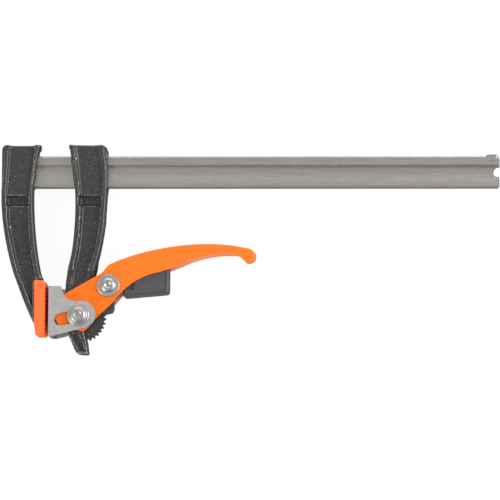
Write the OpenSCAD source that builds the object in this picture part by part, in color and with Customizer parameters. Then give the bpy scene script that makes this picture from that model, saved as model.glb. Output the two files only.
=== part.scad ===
// Quick release bar clamp. A ratchet lever presses the moving jaw, and a trigger in it lets go.
// The clamp lies flat: X runs along the rail, Y from the jaws to the rail, Z across the thickness.
// The origin is the centre of the fixed jaw's clamping face. Lengths are in millimetres.

/* [Capacity] */
// Throat depth, from the centre of the jaw faces to the rail
throat = 80; // [74:1:90]
// Largest opening between the jaw faces
opening = 252; // [150:1:400]
// Gap between the jaw faces as shown
jaw_gap = 2.05; // [1.8:0.05:4]

/* [Rail] */
// Height of the rail, across its wide face
rail_h = 21; // [19:0.5:25]
// Thickness of the rail
rail_t = 10.2; // [9:0.1:11]
// Width of the groove along each wide face
groove_w = 9.9; // [6:0.1:12]
// Depth of the groove
groove_d = 1.5; // [0.8:0.1:2.5]
// Width of each sloped wall of the groove
groove_slope = 1.2; // [0.5:0.1:2]
// Height of the land below the groove
groove_land = 6.3; // [4:0.1:7]
// Chamfer along the rail's edges
rail_chamfer = 0.8; // [0.3:0.1:1.2]
// Width of the staked stop at the free end
stop_w = 7.5; // [6:0.5:10]
// Height of the staked stop above the rail's edge
stop_rise = 1; // [0.6:0.1:1.4]
// Length of rail past the stop
stop_to_end = 0.6; // [0.4:0.1:6]
// Corner cut at the rail's free end
rail_end_cut = 1.2; // [0.5:0.1:2]
// Radius of the notch in the rail's free end
notch_r = 3.4; // [2:0.1:4]

/* [Arms] */
// Thickness of both arms over their flanges
flange_t = 20.4; // [19:0.2:22]
// Width of a flange
flange_w = 4; // [3:0.1:5]
// Thickness of the web beside the rail
head_web_t = 16; // [14.4:0.2:17]
// Thickness of the web below the rail
arm_web_t = 12; // [9:0.2:13]
// Thickness at the floor of the pocket under the rail
pocket_t = 8; // [6:0.2:10]
// Height of the pocket under the rail
pocket_h = 6.8; // [5:0.1:8]
// Distance from the rail down to the pocket
pocket_drop = 5.6; // [5:0.1:7]
// Casting above the rail
head_wall = 6.3; // [5:0.1:9]
// Height of the flange ends above the web's top edge
ridge_rise = 0.9; // [0.5:0.1:2]
// Thickness over the low shoulder behind the head's rear flange
shoulder_t = 16.6; // [14:0.2:18]
// Distance from the fixed jaw's face to the back of its arm
fixed_reach = 30.3; // [28:0.1:34]
// Distance from the moving jaw's face to the back of its arm
slide_reach = 38.5; // [37:0.1:41]
// Clearance between the sliding arm and the rail, each side
slide_clearance = 0.15; // [0.1:0.05:0.3]

/* [Pad cap] */
// Depth of the pad cap along the rail
cap_depth = 7.9; // [7:0.1:10]
// Height of the pad cap
cap_h = 36.6; // [34:0.2:40]
// Thickness of the pad cap over its side walls
cap_t = 20.8; // [19.8:0.2:22]
// Thickness of the cap's gripping face
cap_face = 3; // [2.4:0.1:4]
// Wall of the cap round the jaw block
cap_wall = 1.5; // [1:0.1:2]
// Spacing of the grip grooves
grip_pitch = 2.7; // [2:0.1:4]
// Width of a grip groove
grip_w = 0.9; // [0.5:0.1:1.2]
// Depth of a grip groove
grip_d = 0.35; // [0.2:0.05:0.8]
// Clearance of the cap on the jaw block
cap_clearance = 0.1; // [0.05:0.05:0.3]

/* [Pivot and ratchet] */
// Distance from the moving jaw's face to the lever's pivot
pivot_in = 20.15; // [19.5:0.05:21.5]
// Distance from the jaw's centre line down to the lever's pivot
pivot_drop = 5.3; // [4.5:0.1:6.5]
// Radius to the tips of the ratchet teeth
tip_r = 16.7; // [16.2:0.1:17.2]
// Depth of the ratchet teeth
tooth_d = 1.5; // [1:0.1:2.2]
// Angle from tooth to tooth
tooth_pitch_deg = 10.35; // [8:0.05:13]
// Number of ratchet teeth
tooth_count = 8; // [5:1:10]
// Angle of the first tooth above the rail's direction
tooth_first_deg = 6; // [0:0.5:12]
// Thickness of the toothed sector
sector_t = 10; // [8:0.2:12]
// Thickness of the arm between the lever's cheeks
boss_t = 14.9; // [13:0.1:15]

/* [Rivets and washers] */
// Radius of the lever's pivot rivet
lower_rivet_r = 4; // [3.5:0.1:4.5]
// Radius of its formed head
lower_head_r = 6.1; // [5.6:0.1:6.8]
// Height of its formed head
lower_head_h = 1.9; // [1.2:0.1:2.6]
// Radius of the washer under it
lower_washer_r = 7.2; // [6.9:0.1:8]
// Radius of the pawl's rivet
upper_rivet_r = 3.5; // [3:0.1:4]
// Radius of its formed head
upper_head_r = 4.9; // [4.5:0.1:5.6]
// Height of its formed head
upper_head_h = 1.8; // [1.2:0.1:2.4]
// Radius of the dished centre of its head
dish_r = 2.2; // [1.5:0.1:2.8]
// Depth of the dished centre
dish_d = 0.7; // [0.3:0.1:1]
// Radius of the washer under it
upper_washer_r = 7.5; // [7:0.1:8]
// Thickness of the washers
washer_t = 1.2; // [0.8:0.1:1.6]
// Running clearance of a hole on its rivet
run_clearance = 0.05; // [0.02:0.01:0.1]
// End play between neighbouring flat faces
end_play = 0.05; // [0.02:0.01:0.1]
// Radius of the shims beside the arm
shim_r = 7.2; // [6:0.1:8]

/* [Stirrup] */
// Thickness of the stirrup's sheet
stirrup_sheet = 2; // [1.6:0.1:2.5]
// Height of its pressure face above the jaw's centre line
stirrup_up = 14.1; // [12:0.1:16]
// Height of its pressure face below the jaw's centre line
stirrup_down = 18.9; // [17:0.1:20]
// Radius of the stirrup's ears
ear_r = 9; // [8.4:0.1:9.5]
// Rise of the slot and of the ears' bottom edge
slot_deg = 13.5; // [10:0.5:16]
// Travel left in the slot beyond the pivot rivet, to press harder
slot_out = 2.4; // [1.5:0.1:3]
// Travel in the slot for drawing back
slot_back = 12.2; // [9:0.1:13]
// Gap between the stirrup's cheeks and the lever's
stirrup_clearance = 0.3; // [0.2:0.05:0.5]

/* [Lever] */
// Reach of the lever from its pivot to the tip of its handle
lever_l = 115.7; // [105:0.1:135]
// Width over the lever's cheeks
lever_w = 20; // [19.6:0.1:20.6]
// Thickness of the lever's sheet
lever_sheet = 2; // [1.6:0.1:2.4]
// Pawl rivet ahead of the lever's pivot
pawl_out = 19.5; // [18.8:0.1:20.5]
// Pawl rivet above the lever's pivot
pawl_up = 19.95; // [19.3:0.05:20.6]
// Clearance of the lever's nose behind the stirrup's front
cam_clearance = 0.15; // [0.1:0.05:0.4]

/* [Pawl and trigger] */
// Thickness of the ratchet pawl
pawl_t = 8; // [6:0.2:9]
// Radius of the pawl's eye
pawl_eye_r = 6.4; // [5.6:0.1:7]
// Gap between the pawl and the tips of the teeth
pawl_gap = 0.35; // [0.3:0.05:0.6]
// Width of the pawl's tail
tail_w = 6; // [5:0.1:7]
// Reach of the pawl's tail
tail_l = 27; // [24:0.5:30]
// Rise of the pawl's tail
tail_deg = 19; // [15:0.5:22]
// Length of the release trigger
trigger_l = 29.3; // [26:0.1:32]
// Height of the release trigger
trigger_h = 19; // [17:0.5:20]
// Width of the release trigger
trigger_w = 14.8; // [13:0.1:15]
// Width of its neck between the lever's cheeks
neck_w = 11.6; // [10:0.1:12]
// Length of its neck
neck_l = 7.7; // [6:0.1:9]
// Height of the trigger below its neck
neck_up = 5.2; // [4:0.1:7]
// Radius of the pin that holds the trigger on the pawl's tail
trigger_pin_r = 1.5; // [1:0.1:2]
// Wire of the pawl's spring
spring_wire = 1.2; // [0.8:0.1:1.4]
// Turns of the pawl's spring
spring_turns = 2; // [1:1:2]

/* [Hidden] */
$fn = 64;
overrun = 1;

head_top = throat + rail_h + head_wall;
pivot = [jaw_gap + pivot_in, -pivot_drop];
pawl_pivot = pivot + [pawl_out, pawl_up];
arm_back = jaw_gap + slide_reach;
root_r = tip_r - tooth_d;
cheek_in = lever_w / 2 - lever_sheet;
handle_l = lever_l - pawl_out;
cam_reach = pivot_in - stirrup_sheet - cam_clearance;
stirrup_in = lever_w / 2 + stirrup_clearance;
stirrup_out = stirrup_in + stirrup_sheet;
stop_x = arm_back + opening - jaw_gap + slide_clearance;
rail_end = stop_x + stop_w + stop_to_end;
rail_start = -0.955 * fixed_reach;

// Outline shares of the fixed arm: X of fixed_reach, Y of throat, or of rail_h in the head
fixed_back_shares = [[-1, 1], [-0.985, 0.5625], [-0.67, 0.1875], [-0.264, -0.1275]];
fixed_front_shares = [[-0.086, 0.2425], [-0.215, 0.45], [-0.299, 0.725], [-0.285, 1]];
fixed_head_front_shares = [[-0.285, 0], [-0.275, 0.4], [-0.24, 0.86], [-0.17, 1.25]];
fixed_web_left_shares = [[-0.855, -0.28], [-0.808, 1.4]];
fixed_web_right_shares = [[-0.25, 1.4], [-0.32, 0.76], [-0.38, -0.28]];
fixed_shoulder_shares = [[-0.935, 1.4], [-0.99, -0.1]];
fixed_pocket_shares = [-0.858, -0.386];
fixed_web_end_shares = [-0.313, 0.006];

// Outline shares of the sliding arm: X of slide_reach, Y of throat, or of rail_h in the head
slide_front_shares = [[0.4315, 0.985], [0.462, 0.6875], [0.398, 0.4375]];
slide_back_shares = [[1, 1], [0.99, 0.75], [0.91, 0.525]];
slide_head_front_shares = [[0.424, 0], [0.402, 0.4], [0.367, 0.86], [0.332, 1.25]];
slide_web_left_shares = [[0.556, -0.28], [0.485, 0.76], [0.44, 1.4]];
slide_web_right_shares = [[0.83, 1.4], [0.9, 0.5], [0.915, -0.28]];
slide_shoulder_shares = [[0.925, 1.4], [0.998, 0.5]];
slide_pocket_shares = [0.506, 0.9];

// Shares of tip_r, from the pivot, for the end of the sliding arm
slide_front_end_shares = [-0.568, 0.994];
slide_back_end_shares = [0.592, 1.544];
slide_toe_shares = [[-0.485, -0.627], [-0.124, -1.444], [0.02, -1.49], [0.314, -1.509],
    [0.349, -1.473], [0.29, -1.018], [0.1, -0.3], [0.5, 0.6]];
toe_rim_shares = [[-0.37, -0.7], [0.03, -1.385], [0.21, -1.4], [0.14, -1.05], [-0.03, -0.72]];

// Shares of the handle's length, from the pawl's rivet, for the curves of the lever's cheeks in turn
lever_shoulder_shares = [[-0.0623, 0.0774], [-0.0249, 0.094], [-0.0239, 0.1305], [0.0167, 0.1513]];
lever_top_shares = [[0.0167, 0.1513], [0.209, 0.2417], [0.6248, 0.3394], [0.9699, 0.2542]];
lever_tip_shares = [[0.9699, 0.2542], [0.9928, 0.248], [1.0036, 0.228], [1.0, 0.2074]];
lever_hook_shares = [[1.0, 0.2074], [0.9958, 0.1824], [0.9803, 0.1658], [0.9584, 0.1668]];
lever_inner_hook_shares = [[0.9584, 0.1668], [0.9262, 0.1689], [0.9116, 0.2167], [0.867, 0.2198]];
lever_grip_shares = [[0.867, 0.2198], [0.7598, 0.2292], [0.6456, 0.2063], [0.5572, 0.1752]];
lever_palm_shares = [[0.5572, 0.1752], [0.4792, 0.1419], [0.396, 0.1024], [0.3109, 0.0848]];
lever_belly_shares = [[0.3109, 0.0848], [0.1985, 0.0588], [0.0946, -0.0244], [0.0384, -0.1055]];

// Shares of the cam's reach, from the lever's pivot, for the curves round the pivot in turn
lever_nose_shares = [[-1.0002, 0.511], [-0.7585, 0.6621], [-0.5059, 0.8003]];
lever_cheek_shares = [[1.0889, 0.3111], [0.6447, -0.0225], [0.4223, -0.3445]];
lever_toe_shares = [[0.4223, -0.3445], [0.3111, -0.5001], [0.178, -0.6113], [0.0109, -0.5502]];
lever_heel_shares = [[0.0109, -0.5502], [-0.2166, -0.4667], [-0.4667, -0.4223], [-0.6614, -0.378]];
lever_cam_shares = [[-0.6614, -0.378], [-0.8446, -0.3336], [-0.9558, 0.1999], [-1.0002, 0.511]];
lever_roof_share = -0.0127;

// Shares of tip_r, from the pawl's rivet, for the pawl's nose
nose_shares = [[-0.37, -0.9], [-0.25, -1.1], [-0.08, -1.08], [0.1, -1.04], [0.175, -0.9], [0.165, -0.6]];

// Points along a cubic curve with four control points
function bezier(p, n) = [for (i = [0:n]) let (t = i / n, u = 1 - t)
    u * u * u * p[0] + 3 * u * u * t * p[1] + 3 * u * t * t * p[2] + t * t * t * p[3]];
function arc(at, r, a0, a1, n) = [for (i = [0:n]) let (a = a0 + (a1 - a0) * i / n) at + r * [cos(a), sin(a)]];
function drop_last(p) = [for (i = [0:len(p) - 2]) p[i]];
function flip(p) = [for (i = [len(p) - 1:-1:0]) p[i]];

// The same curve moved sideways by d, to the left of its direction
function inset(p, d) = [for (i = [0:len(p) - 1])
    let (a = p[max(i - 1, 0)], b = p[min(i + 1, len(p) - 1)], v = (b - a) / norm(b - a))
    p[i] + d * [-v[1], v[0]]];

function fixed_low(s) = [s[0] * fixed_reach, s[1] * throat];
function fixed_high(s) = [s[0] * fixed_reach, throat + s[1] * rail_h];
function slide_low(s) = [jaw_gap + s[0] * slide_reach, s[1] * throat];
function slide_high(s) = [jaw_gap + s[0] * slide_reach, throat + s[1] * rail_h];
function from_pivot(s) = pivot + s * tip_r;
function on_handle(table) = [for (s = table) pawl_pivot + s * handle_l];
function on_cam(table) = [for (s = table) pivot + s * cam_reach];

arm_steps = 10;
fixed_back = bezier([for (s = fixed_back_shares) fixed_low(s)], arm_steps);
fixed_front = bezier([for (s = fixed_front_shares) fixed_low(s)], arm_steps);
fixed_head_front = bezier([for (s = fixed_head_front_shares) fixed_high(s)], arm_steps);
slide_front = bezier(concat([for (s = slide_front_shares) slide_low(s)],
    [from_pivot(slide_front_end_shares)]), arm_steps);
slide_back = bezier(concat([for (s = slide_back_shares) slide_low(s)],
    [from_pivot(slide_back_end_shares)]), arm_steps);
slide_head_front = bezier([for (s = slide_head_front_shares) slide_high(s)], arm_steps);
lever_top = bezier(on_handle(lever_top_shares), 20);
lever_roof = inset(lever_top, -lever_sheet);

module plate(t, points) {
    translate([0, 0, -t / 2]) linear_extrude(t) polygon(points);
}

// Cuts both faces down to the thickness t inside an outline
module both_faces(t, points) {
    for (side = [0, 1]) mirror([0, 0, side])
        translate([0, 0, t / 2]) linear_extrude(flange_t) polygon(points);
}

module pin(r, z0, z1, at) {
    translate([at[0], at[1], z0]) cylinder(r = r, h = z1 - z0);
}

module ring(r, hole, z0, z1, at) {
    difference() {
        pin(r, z0, z1, at);
        pin(hole, z0 - overrun, z1 + overrun, at);
    }
}

module rail_passage(gap) {
    translate([rail_start - gap, throat - gap, -rail_t / 2 - gap])
        cube([rail_end - rail_start + 2 * gap, rail_h + 2 * gap, rail_t + 2 * gap]);
}

module rail() {
    half = rail_t / 2;
    face = [[rail_chamfer, half], [groove_land, half],
        [groove_land + groove_slope, half - groove_d],
        [groove_land + groove_w - groove_slope, half - groove_d],
        [groove_land + groove_w, half], [rail_h - rail_chamfer, half],
        [rail_h, half - rail_chamfer]];
    edge = concat([[0, half - rail_chamfer]], face);
    profile = concat(edge, flip([for (p = edge) [p[0], -p[1]]]));
    top = throat + rail_h;
    notch_at = [rail_end - 0.15 * notch_r, throat + rail_h / 2];
    color([0.62, 0.6, 0.58]) {
        difference() {
            intersection() {
                translate([rail_start, throat, 0]) rotate([90, 0, 90])
                    linear_extrude(rail_end - rail_start) polygon(profile);
                plate(rail_t + 2 * overrun, [[rail_start, throat - overrun],
                    [rail_end - rail_end_cut - overrun, throat - overrun],
                    [rail_end, throat + rail_end_cut], [rail_end, top - rail_end_cut],
                    [rail_end - rail_end_cut - overrun, top + overrun],
                    [rail_start, top + overrun]]);
            }
            pin(notch_r, -rail_t, rail_t, notch_at);
        }
        plate(rail_t - 2 * rail_chamfer, [[stop_x, top - rail_chamfer], [stop_x + stop_w, top - rail_chamfer],
            [stop_x + stop_w - 0.6 * stop_rise, top + stop_rise], [stop_x + 0.6 * stop_rise, top + stop_rise]]);
    }
}

module cap_outline(grow) {
    half = cap_h / 2 + grow;
    back = cap_depth + grow;
    polygon([[-back, half], [-0.23 * back, half], [0, half - 0.09 * cap_h],
        [0, 0.06 * cap_h - half], [-0.14 * back, -half], [-0.82 * back, -half],
        [-0.95 * back, -0.56 * half]]);
}

// Block that fills the cap, with the neck that joins it to the arm through the cap's open back
module jaw_block() {
    half = cap_h / 2 - cap_wall - cap_clearance;
    front = cap_face + cap_clearance;
    plate(cap_t - 2 * (cap_wall + cap_clearance), [[-1.15 * cap_depth, half], [-front, half], [-front, -half],
        [-0.72 * cap_depth, -half], [-0.86 * cap_depth, -0.2 * cap_h], [-1.15 * cap_depth, -0.2 * cap_h]]);
}

module fixed_arm() {
    head_back_x = -fixed_reach;
    ridge_top = head_top + ridge_rise;
    head_front_x = fixed_head_front[arm_steps][0];
    front = concat(drop_last(fixed_front), fixed_head_front);
    outline = concat(
        [[head_front_x + 0.2 * flange_w, ridge_top]],
        [[head_front_x - 0.9 * flange_w, ridge_top]],
        [[head_front_x - flange_w, head_top], [head_back_x + 1.6 * flange_w, head_top]],
        [[head_back_x + 1.4 * flange_w, ridge_top], [head_back_x + 0.7 * flange_w, ridge_top]],
        [[head_back_x, head_top - 0.5 * flange_w]],
        fixed_back,
        [[-0.6 * cap_depth, fixed_back[arm_steps][1]], [-0.6 * cap_depth, fixed_front[0][1]]], front);
    pocket_low = throat - pocket_drop - pocket_h;
    pocket_x = [for (s = fixed_pocket_shares) s * fixed_reach];
    web_end = fixed_low(fixed_web_end_shares);
    web_back = [for (p = inset(fixed_back, flange_w * 0.92))
        if (p[1] < pocket_low && p[1] > web_end[1] + overrun) p];
    web_front = [for (p = inset(fixed_front, flange_w)) if (p[1] < pocket_low) p];
    web = concat([[pocket_x[0] + 0.2 * flange_w, pocket_low + 0.2 * pocket_h]], web_back,
        [web_end, [-0.8 * cap_depth, web_end[1]], [-0.8 * cap_depth, 0.48 * cap_h]],
        web_front, [[pocket_x[1] - 0.2 * flange_w, pocket_low + 0.2 * pocket_h]]);
    color([0.12, 0.12, 0.12]) {
        jaw_block();
        difference() {
            plate(flange_t, outline);
            translate([0, 0, -flange_t]) linear_extrude(2 * flange_t) cap_outline(cap_clearance);
            both_faces(head_web_t, concat([for (s = fixed_web_left_shares) fixed_high(s)],
                [for (s = fixed_web_right_shares) fixed_high(s)]));
            both_faces(shoulder_t, concat([for (s = fixed_shoulder_shares) fixed_high(s)],
                [[head_back_x - overrun, throat - 0.1 * rail_h],
                    [head_back_x - overrun, ridge_top + overrun]]));
            both_faces(arm_web_t, web);
            both_faces(pocket_t, [for (c = [[0, 0], [1, 0], [1, 1], [0, 1]])
                [pocket_x[c[0]], pocket_low + c[1] * pocket_h]]);
            rail_passage(0);
        }
    }
}

module fixed_pad_cap() {
    count = floor((cap_h * 0.8) / grip_pitch);
    half = cap_h / 2 - cap_wall;
    color([0.85, 0.2, 0.06]) difference() {
        translate([0, 0, -cap_t / 2]) linear_extrude(cap_t) cap_outline(0);
        plate(cap_t - 2 * cap_wall, [[-2 * cap_depth, half], [-cap_face, half], [-cap_face, -half],
            [-2 * cap_depth, -half]]);
        for (i = [0:count]) let (y = (i - count / 2) * grip_pitch - 0.02 * cap_h)
            translate([-grip_d, y - grip_w / 2, -cap_t])
                cube([grip_d + overrun, grip_w, 2 * cap_t]);
    }
}

module sector() {
    tip_step = tooth_pitch_deg / 4;
    last = tooth_first_deg - (tooth_count - 1) * tooth_pitch_deg;
    teeth = [for (i = [0:tooth_count - 1]) let (a = tooth_first_deg - i * tooth_pitch_deg)
        each [pivot + root_r * [cos(a + 2 * tip_step), sin(a + 2 * tip_step)],
            pivot + tip_r * [cos(a + 0.4 * tip_step), sin(a + 0.4 * tip_step)],
            pivot + tip_r * [cos(a - 0.3 * tip_step), sin(a - 0.3 * tip_step)]]];
    plate(sector_t, concat([pivot, pivot + root_r * [cos(50), sin(50)], pivot + root_r * [cos(30), sin(30)]],
        teeth, [pivot + root_r * [cos(last - 2 * tip_step), sin(last - 2 * tip_step)]]));
}

module sliding_arm() {
    ridge_top = head_top + ridge_rise;
    head_front_x = slide_head_front[arm_steps][0];
    outline = concat(
        [for (s = slide_toe_shares) from_pivot(s)], flip(slide_back),
        [[arm_back, head_top - flange_w], [arm_back - 0.25 * flange_w, head_top - 0.3 * flange_w],
            [arm_back - 0.8 * flange_w, head_top]],
        [[arm_back - flange_w, ridge_top], [arm_back - 1.7 * flange_w, ridge_top]],
        [[arm_back - 1.9 * flange_w, head_top], [head_front_x + flange_w, head_top]],
        [[head_front_x + 0.6 * flange_w, ridge_top], [head_front_x - 0.2 * flange_w, ridge_top]],
        flip(slide_head_front), slide_front);
    web_back = [for (p = inset(slide_back, -flange_w)) if (p[1] < throat - pocket_drop) p];
    web_front = [for (p = inset(slide_front, flange_w)) if (p[1] < throat - pocket_drop) p];
    sweep_r = 1.51 * cam_reach;
    line_a = on_cam(lever_nose_shares)[2] + [0, 0.05 * cam_reach];
    line_b = on_handle(lever_shoulder_shares)[0] + [0, 0.05 * cam_reach];
    slope = (line_b - line_a) / norm(line_b - line_a);
    color([0.13, 0.12, 0.12]) {
        difference() {
            plate(flange_t, outline);
            both_faces(head_web_t, concat([for (s = slide_web_left_shares) slide_high(s)],
                [for (s = slide_web_right_shares) slide_high(s)]));
            both_faces(shoulder_t, concat([for (s = slide_shoulder_shares) slide_high(s)],
                [[arm_back + overrun, throat + 0.5 * rail_h], [arm_back + overrun, ridge_top + overrun]]));
            both_faces(arm_web_t, concat(web_front, flip(web_back)));
            both_faces(pocket_t, [for (c = [[0, 0], [1, 0], [1, 1], [0, 1]])
                [jaw_gap + slide_pocket_shares[c[0]] * slide_reach,
                    throat - pocket_drop - c[1] * pocket_h]]);
            for (side = [0, 1]) mirror([0, 0, side])
                pin(sweep_r, boss_t / 2, flange_t, pivot);
            both_faces(boss_t, [line_a - slope * lever_l, line_b + slope * lever_l,
                line_b + [lever_l, -lever_l], line_a - [lever_l, lever_l]]);
            both_faces(sector_t, [for (s = toe_rim_shares) from_pivot(s)]);
            pin(lower_rivet_r + run_clearance, -flange_t, flange_t, pivot);
            rail_passage(slide_clearance);
        }
        difference() {
            sector();
            pin(lower_rivet_r + run_clearance, -flange_t, flange_t, pivot);
        }
    }
}

module rivet(shank_r, head_r, head_h, z, at) {
    pin(shank_r, -z, z, at);
    bow_r = (head_r * head_r + head_h * head_h) / (2 * head_h);
    for (side = [0, 1]) mirror([0, 0, side])
        translate([at[0], at[1], z]) intersection() {
            translate([0, 0, head_h - bow_r]) sphere(r = bow_r);
            cylinder(r = head_r, h = head_h * 0.94);
        }
}

lower_washer_z = stirrup_out + end_play;
upper_washer_z = lever_w / 2 + end_play;

module lower_rivet() {
    color([0.75, 0.75, 0.74])
        rivet(lower_rivet_r, lower_head_r, lower_head_h, lower_washer_z + washer_t + end_play, pivot);
}

module upper_rivet() {
    z = upper_washer_z + washer_t + end_play;
    color([0.75, 0.75, 0.74]) difference() {
        rivet(upper_rivet_r, upper_head_r, upper_head_h, z, pawl_pivot);
        for (side = [0, 1]) mirror([0, 0, side])
            pin(dish_r, z + upper_head_h - dish_d, z + upper_head_h + overrun, pawl_pivot);
    }
}

module lower_washer_front() {
    color([0.8, 0.8, 0.78])
        ring(lower_washer_r, lower_rivet_r + run_clearance, lower_washer_z, lower_washer_z + washer_t, pivot);
}

module lower_washer_back() {
    mirror([0, 0, 1]) lower_washer_front();
}

module upper_washer_front() {
    color([0.8, 0.8, 0.78])
        ring(upper_washer_r, upper_rivet_r + run_clearance,
            upper_washer_z, upper_washer_z + washer_t, pawl_pivot);
}

module upper_washer_back() {
    mirror([0, 0, 1]) upper_washer_front();
}

module pivot_shim_front() {
    color([0.7, 0.7, 0.68])
        ring(shim_r, lower_rivet_r + run_clearance, boss_t / 2 + end_play, cheek_in - end_play, pivot);
}

module pivot_shim_back() {
    mirror([0, 0, 1]) pivot_shim_front();
}

module pawl_spacer_front() {
    color([0.7, 0.7, 0.68])
        ring(upper_rivet_r + washer_t * 0.7, upper_rivet_r + run_clearance,
            pawl_t / 2 + end_play, cheek_in - end_play, pawl_pivot);
}

module pawl_spacer_back() {
    mirror([0, 0, 1]) pawl_spacer_front();
}

module stirrup() {
    along = [cos(slot_deg), sin(slot_deg)];
    ear = pivot + slot_out * along;
    slot_half = lower_rivet_r + 2 * run_clearance;
    heel_x = jaw_gap + stirrup_sheet;
    crown_x = jaw_gap + 0.95 * ear_r;
    ear_edge = arc(ear, ear_r, 95, slot_deg - 90, 20);
    waist = bezier([[crown_x, stirrup_up], [crown_x + 0.2 * ear_r, 0.43 * stirrup_up],
        [crown_x + 0.42 * ear_r, ear_edge[0][1] - 0.05 * ear_r], ear_edge[0]], 8);
    slot = concat(arc(ear, slot_half, slot_deg - 90, slot_deg + 90, 16),
        arc(pivot - slot_back * along, slot_half, slot_deg + 90, slot_deg + 270, 16));
    color([0.8, 0.79, 0.76]) difference() {
        plate(2 * stirrup_out, concat([[jaw_gap, stirrup_up]], drop_last(waist), ear_edge,
            [[heel_x, -stirrup_down], [jaw_gap, -stirrup_down]]));
        translate([heel_x, -2 * stirrup_down, -stirrup_in])
            cube([lever_l, 4 * stirrup_down, 2 * stirrup_in]);
        plate(2 * (stirrup_out + overrun), slot);
    }
}

module lever() {
    brow = on_handle(lever_shoulder_shares)[0];
    throat_in = on_handle(lever_belly_shares)[3];
    cheek = concat(
        drop_last(bezier(concat(on_cam(lever_nose_shares), [brow]), 6)),
        drop_last(bezier(on_handle(lever_shoulder_shares), 8)),
        drop_last(lever_top),
        drop_last(bezier(on_handle(lever_tip_shares), 5)),
        drop_last(bezier(on_handle(lever_hook_shares), 5)),
        drop_last(bezier(on_handle(lever_inner_hook_shares), 8)),
        drop_last(bezier(on_handle(lever_grip_shares), 8)),
        drop_last(bezier(on_handle(lever_palm_shares), 8)),
        drop_last(bezier(on_handle(lever_belly_shares), 8)),
        drop_last(bezier(concat([throat_in], on_cam(lever_cheek_shares)), 6)),
        drop_last(bezier(on_cam(lever_toe_shares), 5)),
        drop_last(bezier(on_cam(lever_heel_shares), 5)),
        drop_last(bezier(on_cam(lever_cam_shares), 8)));
    roof_x = pawl_pivot[0] + lever_roof_share * handle_l;
    roof = [for (p = lever_roof) if (p[0] < pawl_pivot[0] + 0.946 * handle_l) p];
    end = roof[len(roof) - 1];
    far = 2 * lever_l;
    color([0.96, 0.36, 0.03]) difference() {
        plate(lever_w, cheek);
        plate(2 * cheek_in, concat([[-far, -far], [-far, far], [roof_x, far],
            [roof_x, roof[0][1] - lever_sheet]], roof, [end - [0, far]]));
        pin(lower_rivet_r + run_clearance, -lever_w, lever_w, pivot);
        pin(upper_rivet_r + run_clearance, -lever_w, lever_w, pawl_pivot);
    }
}

tail_dir = [cos(tail_deg), sin(tail_deg)];
function on_tail(u, v) = pawl_pivot + u * tail_dir + v * [-tail_dir[1], tail_dir[0]];
trigger_pin_at = on_tail(tail_l - 1.4 * trigger_pin_r, 0);

module ratchet_pawl() {
    half = tail_w / 2;
    root_turn = asin(half / pawl_eye_r);
    color([0.2, 0.2, 0.21]) difference() {
        plate(pawl_t, concat([on_tail(tail_l, -half), on_tail(tail_l, half)],
            arc(pawl_pivot, pawl_eye_r, tail_deg + root_turn, 195, 14),
            [for (s = nose_shares) pawl_pivot + s * tip_r],
            arc(pawl_pivot, pawl_eye_r, -22, tail_deg - root_turn, 2)));
        pin(tip_r + pawl_gap, -pawl_t, pawl_t, pivot);
        pin(upper_rivet_r + run_clearance, -pawl_t, pawl_t, pawl_pivot);
        pin(trigger_pin_r + run_clearance, -pawl_t, pawl_t, trigger_pin_at);
    }
}

trigger_left = pawl_pivot[0] + 1.45 * pawl_eye_r;
trigger_low = pawl_pivot[1] - 1.19 * pawl_eye_r;
trigger_top = [[trigger_left, trigger_low + 0.72 * trigger_h],
    [trigger_left + 0.45 * trigger_l, trigger_low + trigger_h]];

module release_trigger() {
    left = trigger_left;
    low = trigger_low;
    rise = 0.08 * trigger_l;
    corner = 0.04 * trigger_l;
    slot_half = tail_w / 2 + end_play;
    color([0.16, 0.16, 0.17]) difference() {
        plate(trigger_w, [[left, low + corner], [left + corner, low],
            [left + trigger_l - corner, low + rise], [left + trigger_l, low + rise + corner],
            [left + trigger_l, low + trigger_h + rise], trigger_top[1], trigger_top[0]]);
        both_faces(neck_w, [[left - overrun, low + neck_up], [left + neck_l, low + neck_up],
            [left + neck_l, low + 2 * trigger_h], [left - overrun, low + 2 * trigger_h]]);
        plate(pawl_t + 2 * end_play, [on_tail(0, -slot_half), on_tail(tail_l + end_play, -slot_half),
            on_tail(tail_l + end_play, slot_half), on_tail(0, slot_half)]);
        pin(trigger_pin_r + run_clearance, -trigger_w, trigger_w, trigger_pin_at);
    }
}

module trigger_pin() {
    color([0.7, 0.7, 0.68]) pin(trigger_pin_r, -trigger_w / 2, trigger_w / 2, trigger_pin_at);
}

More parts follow.
